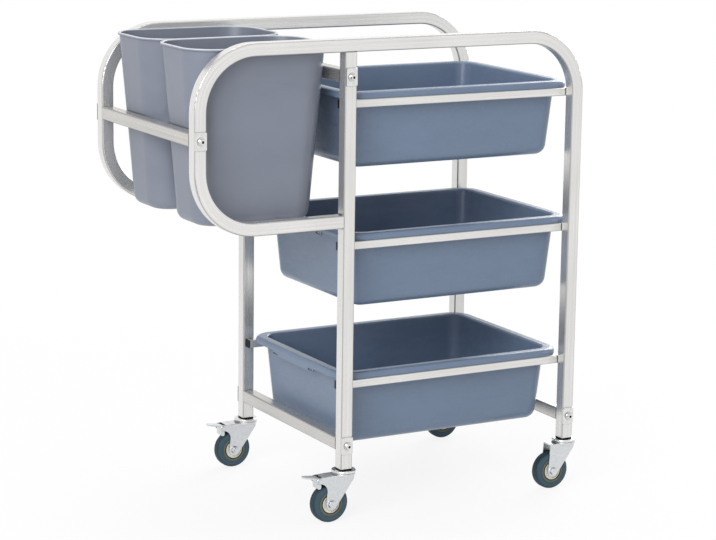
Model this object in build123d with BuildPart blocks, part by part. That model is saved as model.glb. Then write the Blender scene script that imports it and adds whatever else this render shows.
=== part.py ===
from build123d import *
from math import atan2, cos, hypot, radians, sin, tan
import os

os.makedirs("parts", exist_ok=True)

# A three-tray serving trolley with two waste bins. Millimetres, +Z up, +X towards the open end,
# -Y is the near side. The origin is on the floor, under the middle of the trolley.

# Frame
height = 930.0              # floor to the top of the top rails
width = 450.0               # over the two side frames
loop_reach = 309.0          # left leg to the end of the bin loop, centre to centre
loop_drop = 332.0           # top rail to the loop's bottom rail, centre to centre
bend_radius = 112.0         # centre line of every bend
tube = 25.0
tube_wall = 1.5
tube_corner = 3.0

# Crossbars and their fasteners
low_bar_height = 149.5
upper_bar_drop = 71.0       # below the top of the frame
end_bar_drop = 174.0
bolt_diameter = 8.0
bolt_head_diameter = 13.0
bolt_head_height = 6.0
bolt_socket_across = 5.0
bolt_socket_depth = 3.5
bolt_reach = 14.0           # into the insert
insert_length = 22.0
washer_height = 35.0
washer_thickness = 3.0
washer_boss = 1.5
hole_clearance = 0.25       # radial, bolt in the tube walls
insert_fit = 0.05           # radial, inserts and plugs in tubes, bolts and stems in inserts

# Tray rails
low_rail_height = 270.5     # floor to the top face of the lowest rail
top_rail_drop = 117.5       # top of the frame to the top face of the highest rail
rail = 16.0
rail_wall = 1.2
rail_corner = 2.0
rail_setback = 6.0          # rail ends inside the legs' outer edges
plug_flange = 2.0
plug_length = 12.0

# Trays
tray_length = 512.0
tray_depth = 150.0
tray_side_gap = 2.0         # rim to the legs' inner faces
tray_end_gap = 5.5          # walls to the low crossbars, just under the rim
tray_shift = {"low": 0.0, "middle": 15.0, "top": 7.0}     # along the rails, towards the open end
tray_rim = 20.0             # rim overhang
tray_lip = 12.5             # height of the lip that stands on the rails
tray_wall = 3.0
tray_draft = 5.0            # degrees
tray_corner = 30.0
tray_rim_corner = 46.0
tray_floor_round = 22.0
tray_rim_round = 8.5        # outer edge of the rim, rolled over
tray_mouth_round = 4.0      # inner edge of the rim
grip_length = 175.0
grip_drop = 8.0             # finger lip below the rim's lip
grip_slot_length = 20.0
grip_slot_height = 4.0
seat_gap = 0.3              # a loose piece above what carries it

# Bins
bin_rim_drop = 12.0         # rim below the top of the frame
bin_gap = 1.4               # around the bins and between them
bin_wall = 2.5
bin_draft = 4.3             # degrees
bin_corner = 60.0
bin_foot_corner = 46.0
bin_floor_round = 20.0
bin_bead = 3.0
bin_bead_height = 4.0
bin_rim_round = 1.1
bar_diameter = 10.0         # bars under the bins
bar_spacing = 90.0
bar_lift = 1.0              # bars above the underside of the bottom rails

# Casters
wheel_diameter = 75.0
tyre_width = 22.0
tyre_round = 6.0
tyre_bore = 38.0
hub_width = 23.0
hub_web = 18.0
hub_boss_diameter = 20.0
hub_rim = 3.0
hub_play = 0.5              # hub to each fork plate
running_fit = 0.05          # radial, turning pieces
tyre_fit = 0.05
trail = 32.0                # swivel axis to axle
tyre_headroom = 12.0        # tyre to the king pin's head
collar_diameter = 48.0
collar_height = 5.0
collar_round = 2.0
collar_foot_round = 1.0
swivel_gap = 0.4
fork_plate = 2.5
fork_roof = 3.0
fork_end_radius = 12.0
fork_shoulder = 10.0        # full-length upper part of the fork sides
fork_edge = 1.0
fork_front = 16.0           # fork sides in front of the swivel axis
fork_back = 6.5             # fork sides behind the axle
crown_diameter = 46.0       # round top of the fork, under the collar
crown_step = 2.0            # crown above the fork's roof
crown_round = 1.0
stem_diameter = 10.0
stem_length = 26.0
socket_length = 32.0
socket_flange = 2.5
king_pin_diameter = 12.0
king_head_diameter = 20.0
king_head_height = 3.0
ball_diameter = 4.0
ball_ring_diameter = 30.0
ball_count = 16
ball_room = 0.3
axle_diameter = 8.0
axle_head_across = 13.0
axle_head_height = 5.0
axle_tail = 1.5
sleeve_wall = 2.0

# Brakes
pedal_back = 58.0           # swivel axis to the pedal's pin
pedal_drop = 7.0            # top of the fork's roof to the pedal's pin
pedal_pin_diameter = 5.0
pin_head_diameter = 8.0
pin_head_height = 1.5
pedal_ear_radius = 6.0
pedal_hub_radius = 5.0
pedal_room = 1.5            # pedal hub to the end of the fork's roof
pedal_reach = 32.0          # pin to the tip of the tread
pedal_rise = 3.5
pedal_thickness = 3.0
pedal_tip_width = 15.0
shoe_radius = 4.0
shoe_width = 20.0
brake_swing = 25.0          # degrees
shoe_gap = 0.4              # shoe to the tyre, brake on

# Places that follow from the sizes above
half_tube = tube / 2
leg_pitch = tray_length - 2 * tray_rim + 2 * tray_end_gap + tube
inner_half = width / 2 - tube
side_y = width / 2 - half_tube
overall_length = loop_reach + leg_pitch + half_tube + collar_diameter / 2
x_loop = -overall_length / 2 + half_tube
x_left = x_loop + loop_reach
x_right = x_left + leg_pitch
x_middle = (x_left + x_right) / 2
z_top = height - half_tube
z_bottom = z_top - loop_drop
z_upper_bar = height - upper_bar_drop
z_end_bar = height - end_bar_drop

king_head_z = wheel_diameter + tyre_headroom
fork_under = king_head_z + king_head_height + swivel_gap
roof_top = fork_under + fork_roof
fork_top = roof_top + crown_step
collar_z = fork_top + swivel_gap
collar_top = collar_z + collar_height
leg_foot = collar_top + socket_flange
axle_z = wheel_diameter / 2
fork_gap = hub_width + 2 * hub_play
fork_width = fork_gap + 2 * fork_plate

top_rail_height = height - top_rail_drop
rail_heights = {
    "low": low_rail_height,
    "middle": (low_rail_height + top_rail_height) / 2,
    "top": top_rail_height,
}
rail_length = leg_pitch + tube - 2 * rail_setback - 2 * plug_flange
sides = {"near": -1, "far": 1}
crossbars = {
    "bin_end_crossbar": (x_loop, z_end_bar),
    "upper_crossbar": (x_left, z_upper_bar),
    "left_low_crossbar": (x_left, low_bar_height),
    "right_low_crossbar": (x_right, low_bar_height),
}
bolt_places = [(x, z, side) for x, z in crossbars.values() for side in sides.values()]
caster_places = {
    "left_near": (x_left, -side_y),
    "left_far": (x_left, side_y),
    "right_near": (x_right, -side_y),
    "right_far": (x_right, side_y),
}


def save(piece, name):
    piece.part.label = name
    export_step(piece.part, f"parts/{name}.step")


def upright(x, y):
    """A plane facing -Y: sketch x runs along X from x, sketch y runs up from the floor."""
    return Plane(origin=(x, y, 0), x_dir=(1, 0, 0), z_dir=(0, -1, 0))


def outward(x, z, side, y):
    """A plane at height z whose normal points away from the trolley's middle on that side."""
    return Plane(origin=(x, side * y, z), x_dir=(1, 0, 0), z_dir=(0, side, 0))


def inside_corner(wall, corner):
    return max(corner - wall, corner / 4)


def tube_section(size, wall, corner):
    RectangleRounded(size, size, corner)
    RectangleRounded(size - 2 * wall, size - 2 * wall, inside_corner(wall, corner), mode=Mode.SUBTRACT)


def bolt_hole(x, y, z):
    with BuildSketch(upright(x, y)) as hole:
        with Locations((0, z)):
            Circle(bolt_diameter / 2 + hole_clearance)
    extrude(hole.sketch, amount=tube, both=True, mode=Mode.SUBTRACT)


# Side frames: one bent tube each, from the right leg's foot round the bin loop to the left leg
for side_name, side in sides.items():
    y = side * side_y
    with BuildPart() as side_frame:
        with BuildLine(upright(0, y)) as route:
            FilletPolyline(
                (x_right, leg_foot),
                (x_right, z_top),
                (x_loop, z_top),
                (x_loop, z_bottom),
                (x_left - half_tube, z_bottom),
                radius=bend_radius,
            )
        with BuildSketch(Plane((x_right, y, leg_foot))):
            tube_section(tube, tube_wall, tube_corner)
        sweep(path=route.line)
        bolt_hole(x_loop, y, z_end_bar)
        bolt_hole(x_right, y, low_bar_height)
    save(side_frame, f"side_frame_{side_name}")

    with BuildPart() as left_leg:
        with BuildSketch(Plane((x_left, y, leg_foot))):
            tube_section(tube, tube_wall, tube_corner)
        extrude(amount=height - tube - leg_foot)
        bolt_hole(x_left, y, z_upper_bar)
        bolt_hole(x_left, y, low_bar_height)
    save(left_leg, f"left_leg_{side_name}")

# Tray rails, lapped on the inner faces of the legs, and the plugs in their ends
rail_y = inner_half - rail / 2
for level, rail_height in rail_heights.items():
    for side_name, side in sides.items():
        rail_start = Plane.YZ.offset(x_middle - rail_length / 2)
        with BuildPart() as tray_rail:
            with BuildSketch(rail_start):
                with Locations((side * rail_y, rail_height - rail / 2)):
                    tube_section(rail, rail_wall, rail_corner)
            extrude(amount=rail_length)
        save(tray_rail, f"tray_rail_{level}_{side_name}")

plug_size = rail - 2 * rail_wall - 2 * insert_fit
with BuildPart() as rail_end_plugs:
    for end in (-1, 1):
        plug_plane = Plane(origin=(x_middle + end * rail_length / 2, 0, 0), x_dir=(0, 1, 0), z_dir=(end, 0, 0))
        spots = [
            (side * rail_y, end * (rail_height - rail / 2))
            for rail_height in rail_heights.values()
            for side in sides.values()
        ]
        with BuildSketch(plug_plane):
            with Locations(*spots):
                RectangleRounded(rail, rail, rail_corner)
        extrude(amount=plug_flange)
        with BuildSketch(plug_plane):
            with Locations(*spots):
                RectangleRounded(plug_size, plug_size, inside_corner(rail_wall, rail_corner))
        extrude(amount=-plug_length)
save(rail_end_plugs, "rail_end_plugs")

# Crossbars between the side frames
for bar_name, (x, z) in crossbars.items():
    with BuildPart() as crossbar:
        with BuildSketch(Plane(origin=(x, -inner_half, z), x_dir=(1, 0, 0), z_dir=(0, 1, 0))):
            tube_section(tube, tube_wall, tube_corner)
        extrude(amount=2 * inner_half)
    save(crossbar, bar_name)

insert_size = tube - 2 * tube_wall - 2 * insert_fit
insert_corner = inside_corner(tube_wall, tube_corner)
with BuildPart() as crossbar_inserts:
    for x, z, side in bolt_places:
        with BuildSketch(outward(x, z, side, inner_half)):
            RectangleRounded(insert_size, insert_size, insert_corner)
            Circle(bolt_diameter / 2 + insert_fit, mode=Mode.SUBTRACT)
        extrude(amount=-insert_length)
save(crossbar_inserts, "crossbar_inserts")

# Saddle washers on the outer faces, with a round boss under each bolt head
with BuildPart() as saddle_washers:
    for x, z, side in bolt_places:
        face = outward(x, z, side, width / 2)
        with BuildSketch(face):
            RectangleRounded(tube, washer_height, tube_corner)
        extrude(amount=washer_thickness, taper=20)
        with BuildSketch(face):
            Circle(bolt_head_diameter / 2 + washer_boss)
        extrude(amount=washer_thickness + washer_boss)
        with BuildSketch(face):
            Circle(bolt_diameter / 2 + hole_clearance)
        extrude(amount=washer_thickness + washer_boss, mode=Mode.SUBTRACT)
save(saddle_washers, "saddle_washers")

# Dome-headed crossbar bolts with a hexagon socket
bolt_seat = width / 2 + washer_thickness + washer_boss
with BuildPart() as crossbar_bolts:
    for x, z, side in bolt_places:
        seat = outward(x, z, side, bolt_seat)
        with BuildSketch(seat):
            Circle(bolt_diameter / 2)
        extrude(amount=-(bolt_seat - inner_half + bolt_reach))
        with BuildSketch(seat):
            Circle(bolt_head_diameter / 2)
        extrude(amount=bolt_head_height, taper=14)
        with BuildSketch(seat.offset(bolt_head_height)):
            RegularPolygon(bolt_socket_across / 2, 6, major_radius=False)
        extrude(amount=-bolt_socket_depth, mode=Mode.SUBTRACT)
save(crossbar_bolts, "crossbar_bolts")

# Sockets for the caster stems, in the feet of the legs, with a flange under each tube
with BuildPart() as leg_sockets:
    with BuildSketch(Plane.XY.offset(leg_foot)):
        with Locations(*caster_places.values()):
            RectangleRounded(insert_size, insert_size, insert_corner)
    extrude(amount=socket_length)
    with BuildSketch(Plane.XY.offset(leg_foot)):
        with Locations(*caster_places.values()):
            RectangleRounded(tube, tube, tube_corner)
    extrude(amount=-socket_flange)
    with BuildSketch(Plane.XY.offset(collar_top)):
        with Locations(*caster_places.values()):
            Circle(stem_diameter / 2 + insert_fit)
    extrude(amount=socket_flange + socket_length, mode=Mode.SUBTRACT)
save(leg_sockets, "leg_sockets")


# Trays
tray_width = 2 * (inner_half - tray_side_gap)
tray_shrink = 2 * tray_depth * tan(radians(tray_draft))
body_length = tray_length - 2 * tray_rim
body_width = tray_width - 2 * tray_rim
tray_taper_corner = tray_corner - tray_shrink / 6
grip_round = 0.75 * grip_drop
grip_slot_y = (grip_length - grip_slot_length) / 2 - grip_round / 2


def tray_block(x, z_low, z_high, rim_z, inset):
    """A tapered block between two heights, inset from the tray's outer walls."""
    sections = []
    for z in (z_low, z_high):
        narrowing = 2 * (rim_z - z) * tan(radians(tray_draft)) + 2 * inset
        corner = tray_corner - inset - (tray_corner - tray_taper_corner) * (rim_z - z) / tray_depth
        with BuildSketch(Plane((x, 0, z))) as section:
            RectangleRounded(body_length - narrowing, body_width - narrowing, corner)
        sections.append(section.sketch)
    loft(sections, ruled=True)


for level, rail_height in rail_heights.items():
    x = x_middle + tray_shift[level]
    lip_z = rail_height + seat_gap
    rim_z = lip_z + tray_lip
    floor_z = rim_z - tray_depth
    grip_slot_z = lip_z - grip_drop / 2
    with BuildPart() as cavity:
        tray_block(x, floor_z + tray_wall, rim_z, rim_z, tray_wall)
        fillet(cavity.edges().group_by(Axis.Z)[0], tray_floor_round - tray_wall)

    with BuildPart() as body:
        tray_block(x, floor_z, rim_z, rim_z, 0)
        fillet(body.edges().group_by(Axis.Z)[0], tray_floor_round)

    with BuildPart() as channel:
        with BuildSketch(Plane((x, 0, lip_z))):
            RectangleRounded(tray_length - 2 * tray_wall, tray_width - 2 * tray_wall, tray_rim_corner - tray_wall)
        extrude(amount=tray_lip - tray_wall)
        fillet(channel.faces().sort_by(Axis.Z)[-1].edges(), tray_rim_round - tray_wall)

    with BuildPart() as tray:
        with BuildSketch(Plane((x, 0, rim_z))):
            RectangleRounded(tray_length, tray_width, tray_rim_corner)
        extrude(amount=-tray_lip)
        add(channel.part, mode=Mode.SUBTRACT)
        for end in (-1, 1):
            grip_plane = Plane.YZ.offset(x + end * (tray_length - tray_wall) / 2)
            with BuildSketch(grip_plane):
                with Locations((0, lip_z)):
                    RectangleRounded(grip_length, 2 * grip_drop, grip_round)
            extrude(amount=tray_wall / 2, both=True)
            with BuildSketch(grip_plane):
                with Locations((-grip_slot_y, grip_slot_z), (grip_slot_y, grip_slot_z)):
                    SlotOverall(grip_slot_length, grip_slot_height)
            extrude(amount=tray_wall, both=True, mode=Mode.SUBTRACT)
        add(body.part)
        add(cavity.part, mode=Mode.SUBTRACT)
        fillet(tray.faces().sort_by(Axis.Z)[-1].outer_wire().edges(), tray_rim_round)
        fillet(tray.faces().sort_by(Axis.Z)[-1].inner_wires()[0].edges(), tray_mouth_round)
    save(tray, f"tray_{level}")


# Bins, side by side in the loops, on two bars between the bottom rails
bin_rim_z = height - bin_rim_drop
bar_z = z_bottom - half_tube + bar_diameter / 2 + bar_lift
bin_floor = bar_z + bar_diameter / 2 + seat_gap
bin_height = bin_rim_z - bin_floor
bin_slope = tan(radians(bin_draft))
bin_right = x_left - half_tube - bin_gap - bin_bead
bin_left = x_loop + half_tube + bin_gap - (bin_rim_z - z_end_bar - half_tube) * bin_slope
bin_x = (bin_left + bin_right) / 2
bin_length = bin_right - bin_left
bin_room = inner_half - 1.5 * bin_gap
bin_width = bin_room - 2 * bin_bead


def bin_block(y, z_low, inset):
    """A tapered block from z_low to the rim, inset from the bin's outer walls."""
    sections = []
    for z in (z_low, bin_rim_z):
        depth = bin_rim_z - z
        narrowing = 2 * depth * bin_slope + 2 * inset
        corner = bin_corner - inset - (bin_corner - bin_foot_corner) * depth / bin_height
        with BuildSketch(Plane((bin_x, y, z))) as section:
            RectangleRounded(bin_length - narrowing, bin_width - narrowing, corner)
        sections.append(section.sketch)
    loft(sections, ruled=True)


for side_name, side in sides.items():
    y = side * (bin_gap + bin_room) / 2
    with BuildPart() as hollow:
        bin_block(y, bin_floor + bin_wall, bin_wall)
        fillet(hollow.edges().group_by(Axis.Z)[0], bin_floor_round - bin_wall)

    with BuildPart() as waste_bin:
        bin_block(y, bin_floor, 0)
        fillet(waste_bin.edges().group_by(Axis.Z)[0], bin_floor_round)
        with BuildSketch(Plane((bin_x, y, bin_rim_z))):
            RectangleRounded(bin_length + 2 * bin_bead, bin_width + 2 * bin_bead, bin_corner + bin_bead)
        extrude(amount=-bin_bead_height)
        add(hollow.part, mode=Mode.SUBTRACT)
        fillet(waste_bin.faces().sort_by(Axis.Z)[-1].edges(), bin_rim_round)
    save(waste_bin, f"bin_{side_name}")

with BuildPart() as bin_support_bars:
    with BuildSketch(upright(bin_x, inner_half)):
        with Locations((-bar_spacing / 2, bar_z), (bar_spacing / 2, bar_z)):
            Circle(bar_diameter / 2)
    extrude(amount=2 * inner_half)
save(bin_support_bars, "bin_support_bars")

# Casters. Each trails towards -X: a fixed stem and collar, a fork that swivels, a wheel that rolls
axle_x = -trail
crown_radius = crown_diameter / 2
sleeve_radius = axle_diameter / 2 + sleeve_wall
ball_radius = ball_diameter / 2
ball_z = fork_top + ball_room + ball_radius
pedal_z = roof_top - pedal_drop
pedal_hub_width = fork_gap - 2 * hub_play
shoe_angle = atan2(axle_z - pedal_z, axle_x + pedal_back) - radians(brake_swing)
shoe_arm = hypot(axle_x + pedal_back, axle_z - pedal_z) - wheel_diameter / 2 - shoe_gap - shoe_radius
roof_end = pedal_hub_radius + pedal_room - pedal_back
throat_round = 0.85 * (pedal_back - trail - fork_back)

with BuildPart() as swivel_balls:
    for x, y in caster_places.values():
        with Locations(Plane((x, y, ball_z))):
            with PolarLocations(ball_ring_diameter / 2, ball_count):
                Sphere(ball_radius)
save(swivel_balls, "swivel_balls")

for corner_name, (x, y) in caster_places.items():
    braked = corner_name.startswith("left")
    side = 1 if y > 0 else -1
    swivel_axis = Axis((x, y, 0), (0, 0, 1))

    with BuildPart() as caster_stem:
        with BuildSketch(upright(x, y)):
            with BuildLine():
                Polyline(
                    (0, king_head_z),
                    (king_head_diameter / 2, king_head_z),
                    (king_head_diameter / 2, king_head_z + king_head_height),
                    (king_pin_diameter / 2, king_head_z + king_head_height),
                    (king_pin_diameter / 2, collar_top),
                    (stem_diameter / 2, collar_top),
                    (stem_diameter / 2, leg_foot + stem_length),
                    (0, leg_foot + stem_length),
                    close=True,
                )
            make_face()
        revolve(axis=swivel_axis)
    save(caster_stem, f"caster_stem_{corner_name}")

    with BuildPart() as caster_collar:
        with BuildSketch(Plane((x, y, collar_z))):
            Circle(collar_diameter / 2)
        extrude(amount=collar_height)
        fillet(caster_collar.edges().group_by(Axis.Z)[-1], collar_round)
        fillet(caster_collar.edges().group_by(Axis.Z)[0], collar_foot_round)
        with BuildSketch(Plane((x, y, collar_z))):
            Circle(king_pin_diameter / 2 + insert_fit)
        extrude(amount=collar_height, mode=Mode.SUBTRACT)
        with BuildSketch(Plane((x, y, collar_z))):
            Circle(ball_ring_diameter / 2 + ball_radius + insert_fit)
            Circle(ball_ring_diameter / 2 - ball_radius - insert_fit, mode=Mode.SUBTRACT)
        extrude(amount=ball_z + ball_radius + insert_fit - collar_z, mode=Mode.SUBTRACT)
    save(caster_collar, f"caster_collar_{corner_name}")

    with BuildPart() as crown:
        with BuildSketch(Plane((x, y, fork_under))):
            Circle(crown_radius)
        extrude(amount=fork_roof + crown_step)
        fillet(crown.edges().group_by(Axis.Z)[-1], crown_round)

    with BuildPart() as fork:
        with BuildSketch(upright(x, y)):
            with Locations((axle_x, axle_z)):
                Circle(fork_end_radius)
            with Locations((axle_x - fork_back, roof_top)):
                Rectangle(trail + fork_back + fork_front, fork_shoulder, align=(Align.MIN, Align.MAX))
            make_hull()
        extrude(amount=fork_width / 2, both=True)
        if braked:
            with BuildSketch(upright(x, y)):
                with Locations((-pedal_back, pedal_z)):
                    Circle(pedal_ear_radius)
                with Locations((axle_x, roof_top)):
                    Rectangle(trail, fork_shoulder, align=(Align.MIN, Align.MAX))
                make_hull()
            extrude(amount=fork_width / 2, both=True)
            throat = (x + axle_x - fork_back, y, roof_top - fork_shoulder)
            fillet(fork.edges().filter_by(Axis.Y).sort_by_distance(throat)[0], throat_round)
        fillet(fork.faces().filter_by(Axis.Y).edges(), fork_edge)
        with BuildSketch(upright(x, y)):
            with BuildLine():
                if braked:
                    Polyline(
                        (crown_radius, 0),
                        (crown_radius, fork_under),
                        (axle_x, fork_under),
                        (roof_end, pedal_z + pedal_ear_radius - fork_roof),
                        (roof_end, roof_top),
                        (-pedal_back - pedal_ear_radius, roof_top),
                        (-pedal_back - pedal_ear_radius, 0),
                        close=True,
                    )
                else:
                    Polyline(
                        (crown_radius, 0),
                        (crown_radius, fork_under),
                        (axle_x - fork_end_radius, fork_under),
                        (axle_x - fork_end_radius, 0),
                        close=True,
                    )
            make_face()
        extrude(amount=fork_gap / 2, both=True, mode=Mode.SUBTRACT)
        add(crown.part)
        with BuildSketch(Plane((x, y, fork_under))):
            Circle(king_pin_diameter / 2 + running_fit)
        extrude(amount=fork_roof + crown_step, mode=Mode.SUBTRACT)
        with BuildSketch(upright(x, y)):
            with Locations((axle_x, axle_z)):
                Circle(axle_diameter / 2 + insert_fit)
            if braked:
                with Locations((-pedal_back, pedal_z)):
                    Circle(pedal_pin_diameter / 2 + insert_fit)
        extrude(amount=fork_width, both=True, mode=Mode.SUBTRACT)
    save(fork, f"fork_{corner_name}")

    with BuildPart() as axle_bolt:
        with BuildSketch(outward(x + axle_x, axle_z, side, side_y + fork_width / 2)):
            RegularPolygon(axle_head_across / 2, 6, major_radius=False)
        extrude(amount=axle_head_height)
        with BuildSketch(outward(x + axle_x, axle_z, side, side_y + fork_width / 2)):
            Circle(axle_diameter / 2)
        extrude(amount=-(fork_width + axle_head_height + axle_tail))
        with BuildSketch(outward(x + axle_x, axle_z, side, side_y - fork_width / 2)):
            RegularPolygon(axle_head_across / 2, 6, major_radius=False)
            Circle(axle_diameter / 2 + insert_fit, mode=Mode.SUBTRACT)
        extrude(amount=-axle_head_height)
    save(axle_bolt, f"axle_bolt_{corner_name}")

    with BuildPart() as axle_sleeve:
        with BuildSketch(upright(x, y)):
            with Locations((axle_x, axle_z)):
                Circle(sleeve_radius)
                Circle(axle_diameter / 2 + insert_fit, mode=Mode.SUBTRACT)
        extrude(amount=fork_gap / 2, both=True)
    save(axle_sleeve, f"axle_sleeve_{corner_name}")

    with BuildPart() as hub:
        with BuildSketch(upright(x, y)):
            with Locations((axle_x, axle_z)):
                Circle(hub_boss_diameter / 2)
        extrude(amount=hub_width / 2, both=True)
        with BuildSketch(upright(x, y)):
            with Locations((axle_x, axle_z)):
                Circle(tyre_bore / 2 - tyre_fit)
        extrude(amount=hub_web / 2, both=True)
        with BuildSketch(upright(x, y)):
            with Locations((axle_x, axle_z)):
                Circle(tyre_bore / 2 - tyre_fit)
                Circle(tyre_bore / 2 - tyre_fit - hub_rim, mode=Mode.SUBTRACT)
        extrude(amount=tyre_width / 2, both=True)
        with BuildSketch(upright(x, y)):
            with Locations((axle_x, axle_z)):
                Circle(sleeve_radius + running_fit)
        extrude(amount=hub_width, both=True, mode=Mode.SUBTRACT)
    save(hub, f"hub_{corner_name}")

    with BuildPart() as tyre:
        with BuildSketch(upright(x, y)):
            with Locations((axle_x, axle_z)):
                Circle(wheel_diameter / 2)
                Circle(tyre_bore / 2, mode=Mode.SUBTRACT)
        extrude(amount=tyre_width / 2, both=True)
        fillet(tyre.edges().filter_by(GeomType.CIRCLE).group_by(SortBy.RADIUS)[-1], tyre_round)
    save(tyre, f"tyre_{corner_name}")

    if braked:
        with BuildPart() as pedal_pin:
            with BuildSketch(upright(x, y)):
                with Locations((-pedal_back, pedal_z)):
                    Circle(pedal_pin_diameter / 2)
            extrude(amount=fork_width / 2 + pin_head_height, both=True)
            with BuildSketch(upright(x, y - fork_width / 2), upright(x, y + fork_width / 2 + pin_head_height)):
                with Locations((-pedal_back, pedal_z)):
                    Circle(pin_head_diameter / 2)
            extrude(amount=pin_head_height)
        save(pedal_pin, f"pedal_pin_{corner_name}")

        with BuildPart() as brake_pedal:
            with BuildSketch(upright(x, y)):
                with Locations((-pedal_back, pedal_z + pedal_hub_radius - pedal_thickness / 2)):
                    Circle(pedal_thickness / 2)
                with Locations((-pedal_back - pedal_reach, pedal_z + pedal_hub_radius + pedal_rise)):
                    Circle(pedal_thickness / 2)
                make_hull()
            extrude(amount=pedal_hub_width / 2, both=True)
            with BuildSketch(Plane((x, y, pedal_z))):
                with Locations((-pedal_back, 0)):
                    Rectangle(2 * pedal_hub_radius, pedal_hub_width)
                with Locations((-pedal_back - pedal_reach + pedal_tip_width / 2, 0)):
                    Circle(pedal_tip_width / 2)
                make_hull()
            extrude(amount=pedal_reach, both=True, mode=Mode.INTERSECT)
            with BuildSketch(upright(x, y)):
                with Locations((-pedal_back, pedal_z)):
                    Circle(pedal_hub_radius)
            extrude(amount=pedal_hub_width / 2, both=True)
            with BuildSketch(upright(x, y)):
                with Locations((-pedal_back, pedal_z)):
                    Circle(shoe_radius)
                with Locations((shoe_arm * cos(shoe_angle) - pedal_back, shoe_arm * sin(shoe_angle) + pedal_z)):
                    Circle(shoe_radius)
                make_hull()
            extrude(amount=shoe_width / 2, both=True)
            with BuildSketch(upright(x, y)):
                with Locations((-pedal_back, pedal_z)):
                    Circle(pedal_pin_diameter / 2 + running_fit)
            extrude(amount=pedal_hub_width, both=True, mode=Mode.SUBTRACT)
        save(brake_pedal, f"brake_pedal_{corner_name}")
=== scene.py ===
import math

import bpy
from mathutils import Euler, Matrix, Vector


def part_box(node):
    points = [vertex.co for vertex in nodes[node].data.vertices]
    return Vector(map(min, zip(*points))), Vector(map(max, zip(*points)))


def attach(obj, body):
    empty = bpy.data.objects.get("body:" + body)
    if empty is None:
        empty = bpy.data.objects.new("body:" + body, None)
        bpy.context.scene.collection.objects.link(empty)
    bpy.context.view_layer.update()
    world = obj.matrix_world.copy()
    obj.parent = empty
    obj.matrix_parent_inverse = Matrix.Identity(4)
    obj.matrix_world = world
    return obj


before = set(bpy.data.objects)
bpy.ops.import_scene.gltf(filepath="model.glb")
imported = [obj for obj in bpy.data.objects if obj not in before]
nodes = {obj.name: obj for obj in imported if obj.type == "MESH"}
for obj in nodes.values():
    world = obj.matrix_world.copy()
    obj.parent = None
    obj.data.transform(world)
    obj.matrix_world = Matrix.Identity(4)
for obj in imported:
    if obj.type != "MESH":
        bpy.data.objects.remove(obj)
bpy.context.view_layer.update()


# Sizes of the tube frame

tube_corner = 0.003
bend_radius = 0.112         # centre line of every bend
bar_lift = 0.001            # bars above the underside of the loops

leg_low, leg_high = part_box("left_leg_near")
tube = leg_high[0] - leg_low[0]
side_low, side_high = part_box("side_frame_near")
bars_low, bars_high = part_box("bin_support_bars")
bar_radius = (bars_high[2] - bars_low[2]) / 2
loop_bottom = bars_low[2] - bar_lift


# Materials

noise_range = (0.3, 0.7)    # where nearly all values of a noise lie
line_range = (0.32, 0.68)   # the same for the lines of the steel
seam_range = (0.25, 0.8)    # open share of the view, from a fully shaded corner to an open face, for the painted shade
rim_top = 0.0008            # below a rim, where its painted highlight is palest
rim_foot = 0.0024           # below a rim, where its painted highlight ends

# sockets of a Mix node that take and give colours
mix_first, mix_second, mix_result = 6, 7, 2


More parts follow.
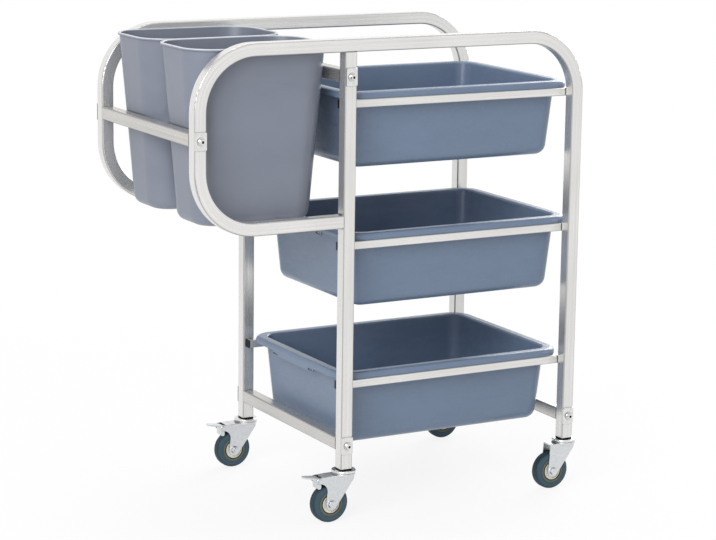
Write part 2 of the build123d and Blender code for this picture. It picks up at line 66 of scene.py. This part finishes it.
class Surface:
    """A material with a Principled shader, and short ways to add the nodes that feed it."""

    def __init__(self, name):
        self.material = bpy.data.materials.new(name)
        self.material.use_nodes = True
        self.tree = self.material.node_tree
        self.shader = self.tree.nodes["Principled BSDF"]
        own = self.add("ShaderNodeTexCoord").outputs
        self.place, self.normal = own["Object"], own["Normal"]

    def add(self, kind, **settings):
        node = self.tree.nodes.new(kind)
        for key, value in settings.items():
            setattr(node, key, value)
        return node

    def link(self, source, target):
        self.tree.links.new(source, target)

    def feed(self, socket, source):
        self.link(source, self.shader.inputs[socket])

    def set(self, socket, value):
        self.shader.inputs[socket].default_value = value

    def scaled(self, x, y, z):
        node = self.add("ShaderNodeMapping")
        node.inputs["Scale"].default_value = (x, y, z)
        self.link(self.place, node.inputs["Vector"])
        return node.outputs["Vector"]

    def split(self, vector):
        node = self.add("ShaderNodeSeparateXYZ")
        self.link(vector, node.inputs["Vector"])
        return node.outputs

    def joined(self, *parts):
        node = self.add("ShaderNodeCombineXYZ")
        for part, socket in zip(parts, node.inputs):
            self.link(part, socket)
        return node.outputs["Vector"]

    def noise(self, vector, scale, detail=2.0, roughness=0.5):
        node = self.add("ShaderNodeTexNoise")
        for name, value in (("Scale", scale), ("Detail", detail), ("Roughness", roughness)):
            node.inputs[name].default_value = value
        self.link(vector, node.inputs["Vector"])
        return node.outputs["Fac"]

    def cells(self, vector, scale):
        node = self.add("ShaderNodeTexVoronoi")
        node.inputs["Scale"].default_value = scale
        self.link(vector, node.inputs["Vector"])
        return node.outputs["Distance"]

    def span(self, source, old, new):
        """Carry a value from one range over to another, and hold it inside."""
        node = self.add("ShaderNodeMapRange")
        for name, value in zip(("From Min", "From Max", "To Min", "To Max"), (*old, *new)):
            node.inputs[name].default_value = value
        self.link(source, node.inputs["Value"])
        return node.outputs["Result"]

    def math(self, operation, first, second=0.0):
        node = self.add("ShaderNodeMath", operation=operation)
        for socket, value in zip(node.inputs, (first, second)):
            if isinstance(value, (int, float)):
                socket.default_value = value
            else:
                self.link(value, socket)
        return node.outputs["Value"]

    def mean(self, first, share, second):
        """A mean of two values, weighted by the share of the first."""
        return self.math("ADD", self.math("MULTIPLY", first, share), self.math("MULTIPLY", second, 1 - share))

    def length(self, across, up):
        """Length of a vector in the XZ plane."""
        squares = (self.math("MULTIPLY", part, part) for part in (across, up))
        return self.math("SQRT", self.math("ADD", *squares))

    def from_axle(self, x, z):
        """Distance from a wheel's axle, which lies along Y."""
        px, _, pz = self.split(self.place)
        return self.length(self.math("SUBTRACT", px, x), self.math("SUBTRACT", pz, z))

    def corners(self, axis):
        """0 on faces square to an axis or along it, 1 where a surface stands midway between the two."""
        part = self.split(self.normal)[axis]
        square = self.math("MULTIPLY", part, part)
        product = self.math("MULTIPLY", square, self.math("SUBTRACT", 1.0, square))
        return self.math("SQRT", self.math("MULTIPLY", product, 4.0))

    def colours(self, source, *stops):
        """A colour ramp through stops of a position and a colour, in rising order."""
        node = self.add("ShaderNodeValToRGB")
        points = node.color_ramp.elements
        points[0].position = stops[0][0]
        points[1].position = stops[-1][0]
        for position, _ in stops[1:-1]:
            points.new(position)
        for point, (_, colour) in zip(points, stops):
            point.color = (*colour, 1)
        self.link(source, node.inputs["Fac"])
        return node.outputs["Color"]

    def between(self, source, values, first, second):
        """A colour ramp from the first colour to the second over a range of values."""
        return self.colours(source, *zip(values, (first, second)))

    def blend(self, factor, first, second):
        node = self.add("ShaderNodeMix", data_type="RGBA")
        self.link(factor, node.inputs["Factor"])
        for index, value in ((mix_first, first), (mix_second, second)):
            if isinstance(value, tuple):
                node.inputs[index].default_value = (*value, 1)
            else:
                self.link(value, node.inputs[index])
        return node.outputs[mix_result]

    def painted_seam_shade(self, colour, dark, reach):
        """Painted shade: darken a colour by ambient occlusion in the corners and seams that lie within reach.
        """
        node = self.add("ShaderNodeAmbientOcclusion", samples=8)
        node.inputs["Distance"].default_value = reach
        return self.blend(self.span(node.outputs["AO"], seam_range, (0.0, 1.0)), dark, colour)

    def bumps(self, *layers):
        """Each layer is a height, a strength and a distance in metres."""
        last = None
        for height, strength, distance in layers:
            node = self.add("ShaderNodeBump")
            node.inputs["Strength"].default_value = strength
            node.inputs["Distance"].default_value = distance
            self.link(height, node.inputs["Height"])
            if last is not None:
                self.link(last, node.inputs["Normal"])
            last = node.outputs["Normal"]
        self.feed("Normal", last)


def from_bends(s):
    """Distance from the middles of a side frame's bends, the same all along one line of its tube."""
    x, _, z = s.split(s.place)
    inset = tube / 2 + bend_radius
    left = s.math("SUBTRACT", side_low[0] + inset, x)
    right = s.math("SUBTRACT", x, side_high[0] - inset)
    top = s.math("SUBTRACT", z, side_high[2] - inset)
    in_loop = s.math("LESS_THAN", x, leg_high[0])
    bottom = s.math("MULTIPLY", s.math("SUBTRACT", loop_bottom + inset, z), in_loop)
    across = s.math("MAXIMUM", s.math("MAXIMUM", left, right), 0.0)
    up = s.math("MAXIMUM", s.math("MAXIMUM", top, bottom), 0.0)
    return s.length(across, up)


def polished_steel(name, along, dull, bright):
    """Satin stainless tube: drawn and polishing lines along it, a slow drift, a painted dark reflection on
    its rounded corners and painted shade in its seams.
    """
    s = Surface(name)

    def lines(across, length):
        """A noise with a scale across the tube and a smaller one along its length."""
        if along == "bends":
            x, y, z = s.split(s.place)
            parts = ((from_bends(s), across), (y, across), (s.math("ADD", x, z), length))
            vector = s.joined(*(s.math("MULTIPLY", part, scale) for part, scale in parts))
        else:
            vector = s.scaled(*(length if axis == along else across for axis in "xyz"))
        return s.noise(vector, scale=1.0)

    grain = s.mean(lines(across=700, length=9), 0.4, lines(across=240, length=1.5))
    tone = s.mean(grain, 0.7, s.noise(s.place, scale=6.0))
    corner = s.corners("X" if along == "y" else "Y")
    colour = s.between(tone, line_range, dull, bright)
    # Painted reflection: the rounded corners of the tube are darkened, as if they mirrored a dark surround.
    colour = s.blend(s.span(corner, (0.25, 1.0), (0.0, 0.6)), colour, (0.17, 0.165, 0.16))
    # Painted shade: ambient occlusion darkens the seams and corners.
    s.feed("Base Color", s.painted_seam_shade(colour, dark=(0.06, 0.055, 0.05), reach=0.003))
    s.feed("Roughness", s.span(tone, line_range, (0.36, 0.22)))
    s.bumps((grain, 0.05, 0.0003))
    s.set("Metallic", 0.8)
    return s.material


def plated(name, dull, bright, rough):
    """Plated small metal: a fine grain, faint spangle, and painted shade in its corners."""
    s = Surface(name)
    grain = s.noise(s.place, scale=420.0, detail=4.0, roughness=0.65)
    tone = s.mean(grain, 0.8, s.cells(s.place, scale=130.0))
    colour = s.between(tone, noise_range, dull, bright)
    # Painted shade: ambient occlusion darkens the corners.
    s.feed("Base Color", s.painted_seam_shade(colour, dark=(0.035, 0.035, 0.04), reach=0.006))
    s.feed("Roughness", s.span(tone, noise_range, rough))
    s.bumps((grain, 0.04, 0.0002))
    s.set("Metallic", 1.0)
    return s.material


def moulded(name, dark, light, grain_scale, rough, shine, wear=None, rim=None):
    """Injection moulded plastic: fine spark-eroded grain, slow flow tones and painted shade in its corners
    and seams.

    It may also have scuffs in a colour of wear, and a rim with a height and the pale colour of a painted
    highlight along its top edge.
    """
    s = Surface(name)
    flow = s.noise(s.scaled(1, 1, 2.5), scale=7.0, detail=3.0, roughness=0.55)
    grain = s.noise(s.place, scale=grain_scale, detail=2.0, roughness=0.6)
    colour = s.between(s.mean(flow, 0.8, grain), noise_range, dark, light)
    if wear:
        scuffs = s.noise(s.scaled(60, 60, 300), scale=1.0, detail=5.0, roughness=0.7)
        colour = s.blend(s.span(scuffs, (0.64, 0.82), (0.0, 0.2)), colour, wear)
    if rim:
        height, pale = rim
        _, _, z = s.split(s.place)
        # Painted highlight: the top edge of the rim is paler, as if it caught the light, broken up by the
        # grain.
        edge = s.span(z, (height - rim_foot, height - rim_top), (0.0, 1.0))
        highlight_breakup = s.span(grain, noise_range, (-0.15, 0.0))
        colour = s.blend(s.math("ADD", edge, highlight_breakup), colour, pale)
    # Painted shade: ambient occlusion darkens corners and seams towards a much darker copy of the plastic.
    seam_shade = tuple(0.3 * part for part in dark)
    s.feed("Base Color", s.painted_seam_shade(colour, dark=seam_shade, reach=0.005))
    s.feed("Roughness", s.span(s.mean(flow, 0.5, grain), noise_range, rough))
    s.bumps((flow, 0.012, 0.002), (grain, 0.08, 0.0003))
    s.set("Specular IOR Level", shine)
    return s.material


def wheel_centre(corner):
    low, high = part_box(f"tyre_{corner}")
    return (low[0] + high[0]) / 2, (low[2] + high[2]) / 2


def radius_of(name):
    low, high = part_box(name)
    return (high[2] - low[2]) / 2


def tyre_rubber(corner):
    """Blue-grey rubber with an olive bead ring at the hub, pale dust, and painted shade that darkens its
    rounded sides and running face.
    """
    s = Surface(f"tyre_rubber_{corner}")
    radius = s.from_axle(*wheel_centre(corner))
    grain = s.noise(s.place, scale=1500.0, detail=2.0, roughness=0.6)
    dust = s.noise(s.place, scale=90.0, detail=3.0)
    side = s.span(radius, (radius_of(f"hub_{corner}"), radius_of(f"tyre_{corner}")), (0.0, 1.0))
    joint, bead, worn_bead = (0.012, 0.013, 0.012), (0.13, 0.135, 0.09), (0.125, 0.135, 0.1)
    # The darker colours for the rounded sides and the running face are painted shade.
    shaded_shoulder, wall, shaded_tread = (0.042, 0.076, 0.098), (0.058, 0.104, 0.134), (0.016, 0.034, 0.048)
    dusty = (0.13, 0.16, 0.18)
    band = s.colours(s.math("ADD", side, s.span(dust, noise_range, (-0.02, 0.02))),
                     (0.05, joint), (0.09, bead), (0.24, worn_bead),
                     (0.32, shaded_shoulder), (0.6, wall), (0.83, shaded_shoulder), (0.97, shaded_tread))
    s.feed("Base Color", s.blend(s.span(dust, (0.5, 0.75), (0.0, 0.1)), band, dusty))
    s.feed("Roughness", s.span(grain, noise_range, (0.42, 0.6)))
    s.bumps((dust, 0.05, 0.001), (grain, 0.15, 0.0003))
    s.set("Specular IOR Level", 0.22)
    return s.material


def hub_plastic(corner):
    """Cream nylon, dirtier towards the dark joint with the tyre."""
    s = Surface(f"hub_plastic_{corner}")
    radius = s.from_axle(*wheel_centre(corner))
    grain = s.noise(s.place, scale=700.0, detail=3.0, roughness=0.6)
    side = s.span(radius, (0.0, radius_of(f"hub_{corner}")), (0.0, 1.0))
    boss, web, stain, joint = (0.7, 0.69, 0.61), (0.8, 0.785, 0.69), (0.55, 0.52, 0.4), (0.03, 0.03, 0.025)
    s.feed("Base Color", s.colours(s.math("ADD", side, s.span(grain, noise_range, (-0.016, 0.016))),
                                   (0.29, boss), (0.89, web), (0.93, stain), (0.963, joint)))
    s.feed("Roughness", s.span(grain, noise_range, (0.32, 0.46)))
    s.bumps((grain, 0.08, 0.0003))
    return s.material


satin = {"dull": (0.65, 0.642, 0.626), "bright": (0.83, 0.822, 0.806)}
steel = {way: polished_steel(f"polished_steel_{way}", way, **satin) for way in ("x", "z", "bends")}
# Painted shade: a darker, warmer copy of the satin steel for the crossbars, whose faces turn to the side.
shaded_crossbar_steel = polished_steel("shaded_crossbar_steel", "y", dull=(0.51, 0.495, 0.477), bright=(0.66, 0.643, 0.622))
chrome = plated("bright_chrome", dull=(0.62, 0.62, 0.61), bright=(0.84, 0.84, 0.83), rough=(0.2, 0.1))
zinc = plated("zinc_plate", dull=(0.6, 0.62, 0.635), bright=(0.72, 0.735, 0.75), rough=(0.38, 0.26))
turned = plated("turned_steel", dull=(0.4, 0.4, 0.4), bright=(0.62, 0.62, 0.62), rough=(0.4, 0.25))
weld_metal = plated("weld_metal", dull=(0.42, 0.4, 0.37), bright=(0.6, 0.585, 0.56), rough=(0.4, 0.24))
tray_plastic = moulded(
    "tray_plastic", dark=(0.144, 0.198, 0.292), light=(0.157, 0.214, 0.312), grain_scale=900.0,
    rough=(0.22, 0.34), shine=0.5, wear=(0.22, 0.275, 0.36))
bin_plastic = moulded(
    "bin_plastic", dark=(0.176, 0.196, 0.246), light=(0.196, 0.217, 0.27), grain_scale=1000.0,
    rough=(0.26, 0.38), shine=0.45, wear=(0.25, 0.27, 0.32),
    # The pale rim colour is a painted highlight along the top edge of the bins.
    rim=(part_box("bin_near")[1][2], (0.58, 0.6, 0.65)))
black_plastic = moulded(
    "black_plastic", dark=(0.004, 0.004, 0.005), light=(0.01, 0.01, 0.012), grain_scale=1200.0,
    rough=(0.35, 0.47), shine=0.12)

looks = {
    "side_frame": steel["bends"],
    "left_leg": steel["z"],
    "tray_rail": steel["x"],
    "bin_end_crossbar": shaded_crossbar_steel,
    "upper_crossbar": shaded_crossbar_steel,
    "left_low_crossbar": shaded_crossbar_steel,
    "right_low_crossbar": shaded_crossbar_steel,
    "bin_support_bars": shaded_crossbar_steel,
    "rail_end_plugs": black_plastic,
    "leg_sockets": black_plastic,
    "crossbar_inserts": turned,
    "saddle_washers": chrome,
    "crossbar_bolts": chrome,
    "swivel_balls": turned,
    "caster_stem": turned,
    "caster_collar": chrome,
    "fork": zinc,
    "axle_bolt": zinc,
    "axle_sleeve": turned,
    "pedal_pin": zinc,
    "brake_pedal": zinc,
    "tray": tray_plastic,
    "bin": bin_plastic,
}
for corner in ("left_near", "left_far", "right_near", "right_far"):
    looks[f"tyre_{corner}"] = tyre_rubber(corner)
    looks[f"hub_{corner}"] = hub_plastic(corner)
for name, node in nodes.items():
    kind = max((k for k in looks if name.startswith(k)), key=len)
    node.data.materials.clear()
    node.data.materials.append(looks[kind])


# Welds, where the legs, loops, rails and bars meet

weld_size = 0.002
weld_pitch = 0.0024         # from one ripple to the next
weld_ripple = 0.16          # depth of the ripples, as a share of the size
weld_step = 0.0004          # along a bead
weld_sink = 0.0003          # root of a bead inside the corner
weld_end = 0.25             # ends of a bead, as a share of its size
weld_taper = 0.125          # share of a bead's length that tapers at each end
arc_points = 5
ring_points = 40

verts, faces = [], []


def ripple(along):
    return weld_size * (1 - weld_ripple + weld_ripple * abs(math.sin(math.pi * along / weld_pitch)))


def section(corner, rise, out, size):
    """The root and the rounded face of a bead in the corner between two directions."""
    points = [corner - weld_sink * (rise + out)]
    for i in range(arc_points):
        angle = math.pi / 2 * i / (arc_points - 1)
        points.append(corner + size * (math.cos(angle) * rise + math.sin(angle) * out))
    return points


def skin(sections, closed):
    """Join sections into one closed bead, end to end or round a ring."""
    first, count = len(verts), len(sections[0])
    for points in sections:
        verts.extend(points)
    for i in range(len(sections) if closed else len(sections) - 1):
        low, high = first + i * count, first + (i + 1) % len(sections) * count
        for j in range(count):
            k = (j + 1) % count
            faces.append((low + j, low + k, high + k, high + j))
    if not closed:
        faces.append(tuple(range(first + count - 1, first - 1, -1)))
        faces.append(tuple(range(first + (len(sections) - 1) * count, first + len(sections) * count)))


def bead(start, end, rise, out):
    """A fillet weld from start to end, tapered at both ends."""
    start, end, rise, out = (Vector(v) for v in (start, end, rise, out))
    length = (end - start).length
    if (end - start).cross(rise).dot(out) < 0:
        rise, out = out, rise
    steps = round(length / weld_step)
    sections = []
    for i in range(steps + 1):
        share = i / steps
        taper = weld_end + (1 - weld_end) * min(1, share / weld_taper, (1 - share) / weld_taper)
        sections.append(section(start.lerp(end, share), rise, out, taper * ripple(share * length)))
    skin(sections, closed=False)


def ring(centre, radius, way):
    """A fillet weld round the end of a bar, which leaves its face along way."""
    way = Vector(way)
    sections = []
    for i in range(ring_points):
        angle = 2 * math.pi * i / ring_points * (1 if way.y > 0 else -1)
        out = Vector((math.cos(angle), 0, -math.sin(angle)))
        sections.append(section(Vector(centre) + radius * out, way, out, ripple(angle * radius)))
    skin(sections, closed=True)


for side_name, inward in (("near", 1), ("far", -1)):
    low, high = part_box(f"left_leg_{side_name}")
    inner_face = high[1] if inward > 0 else low[1]
    y_from, y_to = low[1] + tube_corner, high[1] - tube_corner
    for x, out in ((low[0], -1), (high[0], 1)):
        bead((x, y_from, high[2]), (x, y_to, high[2]), (0, 0, -1), (out, 0, 0))
    for z, rise in ((loop_bottom, -1), (loop_bottom + tube, 1)):
        bead((low[0], y_from, z), (low[0], y_to, z), (0, 0, rise), (-1, 0, 0))
    for level in ("low", "middle", "top"):
        rail_low, rail_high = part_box(f"tray_rail_{level}_{side_name}")
        laps = (
            (rail_low[0] + weld_size, high[0] - tube_corner),
            (side_high[0] - tube + tube_corner, rail_high[0] - weld_size),
        )
        for x_from, x_to in laps:
            for z, rise in ((rail_low[2], -1), (rail_high[2], 1)):
                bead((x_from, inner_face, z), (x_to, inner_face, z), (0, 0, rise), (0, inward, 0))
    for x in (bars_low[0] + bar_radius, bars_high[0] - bar_radius):
        ring((x, inner_face, bars_low[2] + bar_radius), bar_radius, (0, inward, 0))

weld_mesh = bpy.data.meshes.new("frame_welds")
weld_mesh.from_pydata(verts, [], faces)
weld_mesh.shade_smooth()
weld_mesh.materials.append(weld_metal)
welds = bpy.data.objects.new("frame_welds", weld_mesh)
bpy.context.collection.objects.link(welds)
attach(welds, "frame")


# Floor and light

floor_size = 60
floor_gap = 0.0005          # below the tyres
shade_range = (0.4, 1.8)    # from the middle of the floor, where its shade fades out
shade_white = 0.86          # white in the floor's shade, as a share
soft_strength = 0.4         # light from all round
middle = Vector((0, 0, 0.5))


def floor_material():
    """White for the camera and in reflections, with part of the shadow kept near the object."""
    s = Surface("studio_floor")
    grain = s.noise(s.place, scale=60.0, detail=3.0)
    s.feed("Base Color", s.between(grain, noise_range, (0.86, 0.86, 0.86), (0.9, 0.9, 0.9)))
    s.set("Roughness", 0.8)
    distance = s.add("ShaderNodeVectorMath", operation="LENGTH")
    s.link(s.place, distance.inputs[0])
    whiteness = s.span(distance.outputs["Value"], shade_range, (shade_white, 1.0))
    path = s.add("ShaderNodeLightPath").outputs
    seen = s.math("MAXIMUM", path["Is Camera Ray"], path["Is Glossy Ray"])
    seen = s.math("MAXIMUM", seen, path["Is Transmission Ray"])
    white = s.add("ShaderNodeEmission")
    mixed = s.add("ShaderNodeMixShader")
    s.link(s.math("MULTIPLY", seen, whiteness), mixed.inputs["Fac"])
    s.link(s.shader.outputs["BSDF"], mixed.inputs[1])
    s.link(white.outputs["Emission"], mixed.inputs[2])
    s.link(mixed.outputs["Shader"], s.tree.nodes["Material Output"].inputs["Surface"])
    return s.material


bpy.ops.mesh.primitive_plane_add(size=floor_size, location=(0, 0, -floor_gap))
floor = bpy.context.object
floor.name = "floor"
floor.data.materials.append(floor_material())

world = bpy.data.worlds.new("studio")
bpy.context.scene.world = world
world.use_nodes = True
tree = world.node_tree
path = tree.nodes.new("ShaderNodeLightPath").outputs
soft = tree.nodes["Background"]
soft.inputs["Color"].default_value = (1, 1, 1, 1)
soft.inputs["Strength"].default_value = soft_strength
white = tree.nodes.new("ShaderNodeBackground")
white.inputs["Color"].default_value = (1, 1, 1, 1)
seen = path["Is Camera Ray"]
for ray in ("Is Glossy Ray", "Is Transmission Ray"):
    either = tree.nodes.new("ShaderNodeMath")
    either.operation = "MAXIMUM"
    tree.links.new(seen, either.inputs[0])
    tree.links.new(path[ray], either.inputs[1])
    seen = either.outputs["Value"]
mixed = tree.nodes.new("ShaderNodeMixShader")
tree.links.new(seen, mixed.inputs["Fac"])
tree.links.new(soft.outputs["Background"], mixed.inputs[1])
tree.links.new(white.outputs["Background"], mixed.inputs[2])
tree.links.new(mixed.outputs["Shader"], tree.nodes["World Output"].inputs["Surface"])


def softbox(name, place, size, power):
    """A square area lamp that looks at the middle of the trolley."""
    lamp = bpy.data.lights.new(name, "AREA")
    lamp.size = size
    lamp.energy = power
    box = bpy.data.objects.new(name, lamp)
    bpy.context.collection.objects.link(box)
    box.location = place
    box.rotation_euler = (middle - box.location).to_track_quat("-Z", "Y").to_euler()


softbox("key", place=(-2.5, -2.05, 2.0), size=2.0, power=89)
softbox("fill", place=(2.8, 1.8, 1.8), size=2.0, power=60)
softbox("overhead", place=(0.2, 0.3, 3.2), size=2.4, power=30)


# Camera

camera_place = (-2.19595, -4.01914, 1.37323)
camera_yaw, camera_pitch, camera_roll = 29.078, -11.477, 0.771      # degrees
camera_lens, camera_sensor = 117.77, 36.0                           # millimetres
camera_reach = 200.0

camera = bpy.data.objects.new("camera", bpy.data.cameras.new("camera"))
bpy.context.collection.objects.link(camera)
bpy.context.scene.camera = camera
camera.data.sensor_width = camera_sensor
camera.data.lens = camera_lens
camera.data.clip_end = camera_reach
yaw, pitch, roll = (math.radians(a) for a in (camera_yaw, camera_pitch, camera_roll))
turn = Euler((math.pi / 2 + pitch, 0, -yaw)).to_matrix().to_4x4() @ Matrix.Rotation(roll, 4, "Z")
camera.matrix_world = Matrix.Translation(camera_place) @ turn

bpy.context.scene.view_settings.view_transform = "Standard"
